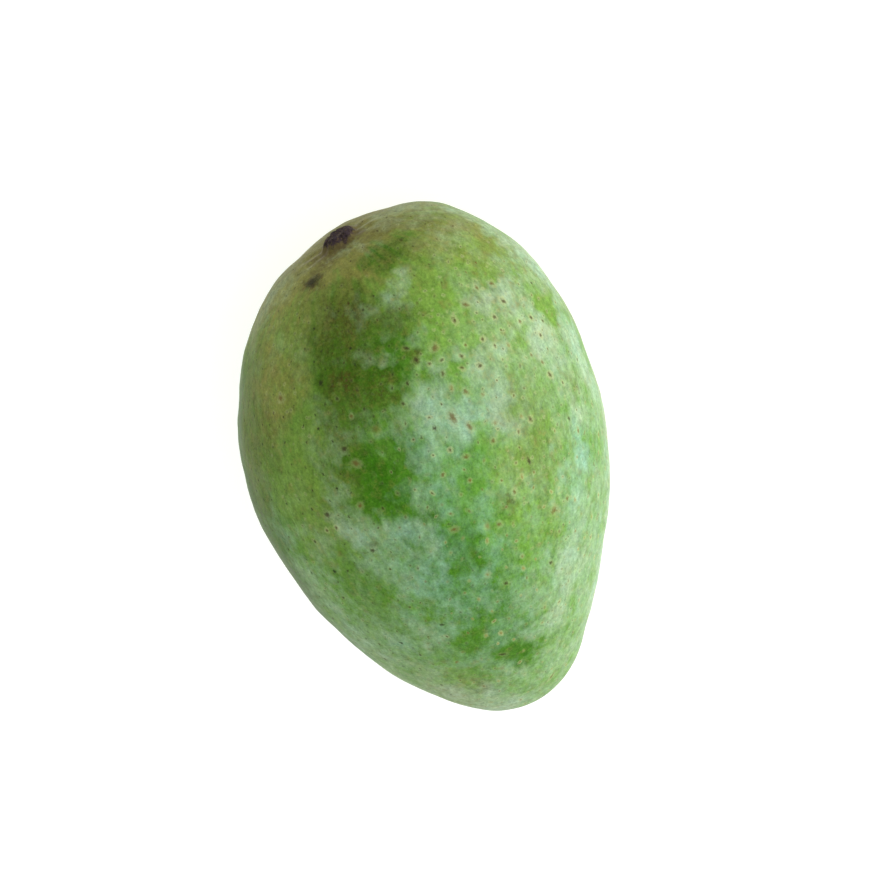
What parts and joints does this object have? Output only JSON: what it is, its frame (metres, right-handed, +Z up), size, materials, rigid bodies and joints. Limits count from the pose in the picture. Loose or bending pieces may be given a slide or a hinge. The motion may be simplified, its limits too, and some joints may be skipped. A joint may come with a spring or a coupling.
{
  "type": "mango",
  "caption": "Whole green mango lying on its cheek: an egg-shaped fruit, fuller at the stem end, with a bent beak and a corky stem scar.",
  "frame": {"origin": "on the resting surface, under the middle of the fruit's box", "axes": "+X along the fruit from the stem end to the apex, +Y towards the fuller back edge, +Z up"},
  "size_m": [0.12, 0.0806, 0.0717],
  "materials": {
    "skin": "satin"
  },
  "bodies": {
    "root": {"mango": "skin"}
  },
  "joints": []
}
